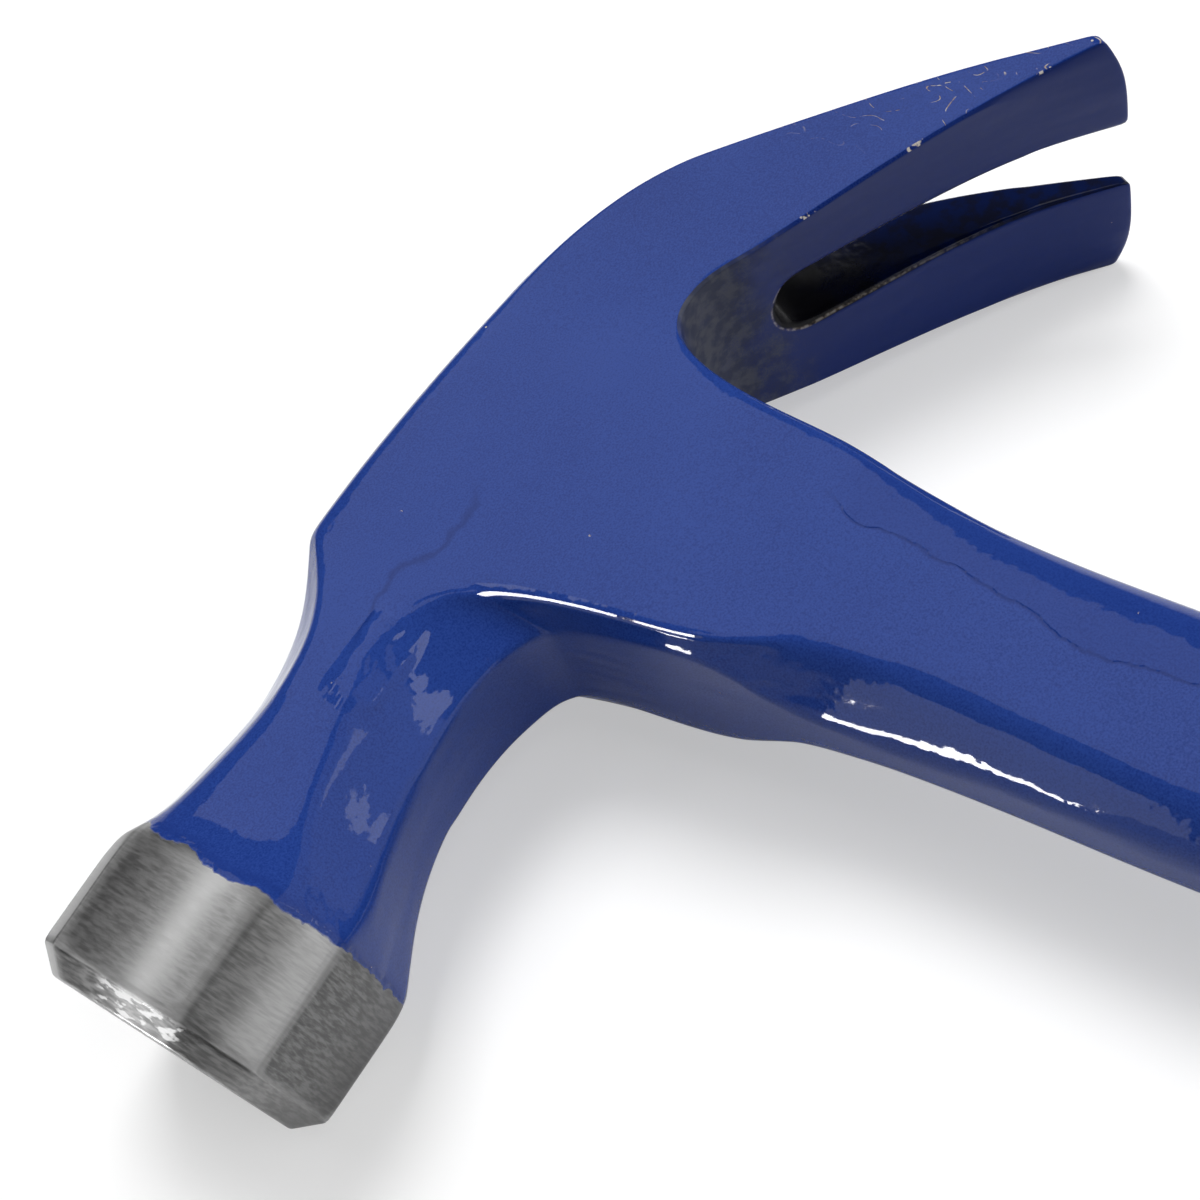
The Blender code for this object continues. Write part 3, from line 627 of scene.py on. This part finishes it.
def grooved_sleeve():
    """Points, faces and groove depth of the sleeve.

    Ovals follow the rounded profile from the butt to the mouth and back down the bore. The front and back
    of each oval are pressed in where y is within half a groove's mouth of its middle, fading out round the
    sides, and are raised a little at the seam, where z is near the plane between the two mould halves.
    """
    outside = rounded_path(GRIP_PROFILE, 0.42, 5.0)
    mouth = rounded_path(np.array([
        outside[-1], (-158.3, 11.7, 9.2), (-158.3, 10.0, 7.5), (-168.0, 10.0, 7.5)]), 0.2, 0.8)
    bore = np.array([(-240.0, 10.0, 7.5), (-314.1, 10.0, 7.5), (-314.1, 4.0, 3.0)])
    stations = np.concatenate([outside, mouth[1:], bore])
    rings = ovals(stations, 160)
    from_groove = stations[:, 0] - GROOVE_FIRST
    nearest = np.clip(np.round(-from_groove / GROOVE_PITCH), 0, GROOVE_COUNT - 1)
    away = np.abs(from_groove + nearest * GROOVE_PITCH)
    outer = np.arange(len(stations)) < len(outside)
    press = smooth(away, GROOVE_MOUTH / 2, GROOVE_FLOOR / 2) * outer
    side = (rings[..., 0] - GRIP_CENTRE) / stations[:, None, 1]
    depth = press[:, None] * smooth(np.abs(side), 0.45, 0.85)
    seamed = smooth(stations[:, 0], -324.0, -321.0) * outer
    seam = smooth(np.abs(rings[..., 2]), SEAM_WIDTH, 0.0) * seamed[:, None]
    rings[..., 0] += np.sign(side) * (seam * SEAM_HEIGHT - depth * GROOVE_DEPTH)
    points, faces = closed_skin(rings)
    return points, faces, np.concatenate([depth.ravel(), [0.0, 0.0]])


sleeve_points, sleeve_faces, groove_depth = grooved_sleeve()
sleeve = put_in_scene("cushion_grip", sleeve_points, sleeve_faces)
groove_layer = sleeve.data.attributes.new("groove", "FLOAT", "POINT")
groove_layer.data.foreach_set("value", groove_depth.astype(np.float32))


def sleeve_finish():
    """Matte black rubber with a fine stipple, hand-polished ribs and dust in the grooves."""
    material, tree, shader = new_finish("matte_grip_rubber")
    place = millimetres(tree)
    groove = wired(tree, "ShaderNodeAttribute", attribute_name="groove").outputs["Fac"]
    stipple = noise(tree, place, 0.55, 2.0)
    mottle = noise(tree, place, 13.0, 4.0)
    colour = tinted(tree, between(tree, mottle, 0.3, 0.7), (0.018, 0.018, 0.020), (0.034, 0.034, 0.036))
    patchy = between(tree, noise(tree, place, 3.5, 4.0), 0.25, 0.75)
    dust = product(tree, between(tree, groove, 0.3, 1.0), patchy)
    colour = tinted(tree, product(tree, dust, 0.4), colour, (0.075, 0.072, 0.066))
    tree.links.new(colour, shader.inputs["Base Color"])
    polish = between(tree, mottle, 0.35, 0.65, 0.52, 0.70)
    tree.links.new(total(tree, polish, product(tree, dust, 0.2)), shader.inputs["Roughness"])
    tree.links.new(bumped(tree, product(tree, stipple, 0.09)), shader.inputs["Normal"])
    shader.inputs["Specular IOR Level"].default_value = 0.4
    return material


sleeve.data.materials.append(sleeve_finish())
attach(sleeve, "root")
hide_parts("grip_sleeve")

# Stage
# A pale floor under the hammer, soft boxes and glowing panels round it, and a camera above the handle that
# looks down at the head.
FLOOR_SIDE = 8.0
floor_mesh = bpy.data.meshes.new("floor")
corners = np.array([(-1, -1, 0), (1, -1, 0), (1, 1, 0), (-1, 1, 0)]) * FLOOR_SIDE / 2
floor_mesh.from_pydata(corners.tolist(), [], [(0, 1, 2, 3)])
floor = bpy.data.objects.new("floor", floor_mesh)
bpy.context.scene.collection.objects.link(floor)


def paper_finish():
    """White paper that keeps a soft shadow near the hammer, is white far off and dim in reflections."""
    material, tree, shader = new_finish("white_paper")
    shader.inputs["Base Color"].default_value = (0.93, 0.93, 0.93, 1.0)
    shader.inputs["Roughness"].default_value = 0.9
    shader.inputs["Specular IOR Level"].default_value = 0.0
    light_path = tree.nodes.new("ShaderNodeLightPath").outputs
    place = tree.nodes.new("ShaderNodeTexCoord").outputs["Object"]
    from_middle = wired(tree, "ShaderNodeVectorMath", {0: place}, operation="LENGTH").outputs["Value"]
    seen = product(tree, light_path["Is Camera Ray"], between(tree, from_middle, 0.35, 1.1, 0.45, 1.0))
    mirrored = sums(tree, "ADD", light_path["Is Glossy Ray"], light_path["Is Transmission Ray"], clamp=True)
    glowing = sums(tree, "ADD", seen, product(tree, mirrored, 0.08), clamp=True)
    white = wired(tree, "ShaderNodeEmission", {"Color": (1.0, 1.0, 1.0, 1.0), "Strength": 1.0}).outputs[0]
    sheet = wired(tree, "ShaderNodeMixShader", {0: glowing, 1: shader.outputs[0], 2: white}).outputs[0]
    tree.links.new(sheet, tree.nodes["Material Output"].inputs["Surface"])
    return material


floor_mesh.materials.append(paper_finish())

HEAD_MIDDLE = POLL_AXIS + Vector((70.0, -15.0, 0.0)) * MM


def soft_box(name, towards, distance, width, height, brightness):
    """A soft light facing the head from a distance, with a power of four times its brightness and area."""
    light = bpy.data.lights.new(name, "AREA")
    light.shape = "RECTANGLE"
    light.size = width
    light.size_y = height
    light.energy = 4 * width * height * brightness
    box = bpy.data.objects.new(name, light)
    direction = Vector(towards).normalized()
    turn = direction.to_track_quat("Z", "Y").to_matrix().to_4x4()
    box.matrix_world = Matrix.Translation(HEAD_MIDDLE + direction * distance) @ turn
    bpy.context.scene.collection.objects.link(box)
    return box


soft_box("key_light", (0.35, 0.22, 0.91), 1.2, 0.5, 0.5, 11.5).visible_glossy = False
for strip in (soft_box("left_strip", (-0.31, 0.079, 0.020), 0.322, 0.134, 0.030, 48.0),
              soft_box("upper_strip", (-0.311, 0.185, 0.260), 0.446, 0.060, 0.040, 48.0)):
    strip.visible_diffuse = False
    strip.visible_camera = False

world = bpy.data.worlds.new("studio")
world.use_nodes = True
bpy.context.scene.world = world
sky = world.node_tree
direction = sky.nodes.new("ShaderNodeTexCoord").outputs["Generated"]
right, ahead, rise = wired(sky, "ShaderNodeSeparateXYZ", {0: direction}).outputs


def panel(brightness, *sides):
    """A soft-edged glowing panel of the sky, whose sides are the low and high values of x, y and z."""
    glow = brightness
    for part, (low, high) in zip((right, ahead, rise), sides):
        off_centre = sums(sky, "ABSOLUTE", sums(sky, "SUBTRACT", part, (low + high) / 2))
        inside = sums(sky, "SUBTRACT", 1.0, sums(sky, "DIVIDE", off_centre, (high - low) / 2))
        glow = product(sky, between(sky, inside, 0.0, PANEL_EDGE), glow)
    return glow


# Two panels light the cheek, one the poll, three the neck and the underside, three are window panes that
# show in the enamel of the neck, and the last lights the chamfer of the shank.
PANEL_EDGE = 0.025
PANELS = (
    (1.65, (0.16, 0.51), (0.03, 0.68), (0.4, 1.2)),
    (1.65, (-0.16, 0.2), (0.03, 0.27), (0.4, 1.2)),
    (3.8, (-0.2, 0.17), (0.44, 0.54), (0.4, 1.2)),
    (1.25, (0.02, 0.95), (-0.95, -0.44), (0.1, 0.9)),
    (1.0, (0.3, 0.95), (-0.5, -0.2), (0.1, 0.98)),
    (1.5, (-0.2, 0.7), (-1.2, -0.8), (0.12, 0.58)),
    (4.4, (-0.02, 0.2), (-0.52, -0.37), (0.8, 1.0)),
    (3.6, (0.44, 0.62), (-0.58, -0.50), (0.6, 0.75)),
    (4.4, (0.52, 0.63), (-0.76, -0.64), (0.38, 0.51)),
    (2.0, (-1.0, -0.7), (0.12, 0.6), (0.08, 0.5)),
)
path = sky.nodes.new("ShaderNodeLightPath").outputs
seen = total(sky, path["Is Camera Ray"], path["Is Glossy Ray"])
seen = sums(sky, "ADD", seen, path["Is Transmission Ray"], clamp=True)
horizon = product(sky, between(sky, rise, 0.05, 0.14, 0.9, 0.0), seen)
glow = sums(sky, "MAXIMUM", horizon, 0.14)
for row in PANELS:
    glow = sums(sky, "MAXIMUM", glow, panel(*row))
glow = sums(sky, "MAXIMUM", glow, path["Is Camera Ray"])
sky.links.new(glow, sky.nodes["Background"].inputs["Color"])

CAMERA_PLACE = (-0.38, -107.05, 161.48)
CAMERA_TARGET = (59.50, -20.06, 11.40)
CAMERA_ROLL = 27.70
LENS = 53.602
lens = bpy.data.cameras.new("camera")
lens.sensor_width = 36.0
lens.lens = LENS
lens.clip_start = 0.01
camera = bpy.data.objects.new("camera", lens)
sight = Vector(CAMERA_TARGET) - Vector(CAMERA_PLACE)
aimed = sight.to_track_quat("-Z", "Y").to_matrix().to_4x4()
rolled = Matrix.Rotation(np.radians(-CAMERA_ROLL), 4, "Z")
camera.matrix_world = Matrix.Translation(POLL_AXIS + Vector(CAMERA_PLACE) * MM) @ aimed @ rolled
bpy.context.scene.collection.objects.link(camera)
bpy.context.scene.camera = camera
bpy.context.scene.view_settings.view_transform = "Standard"
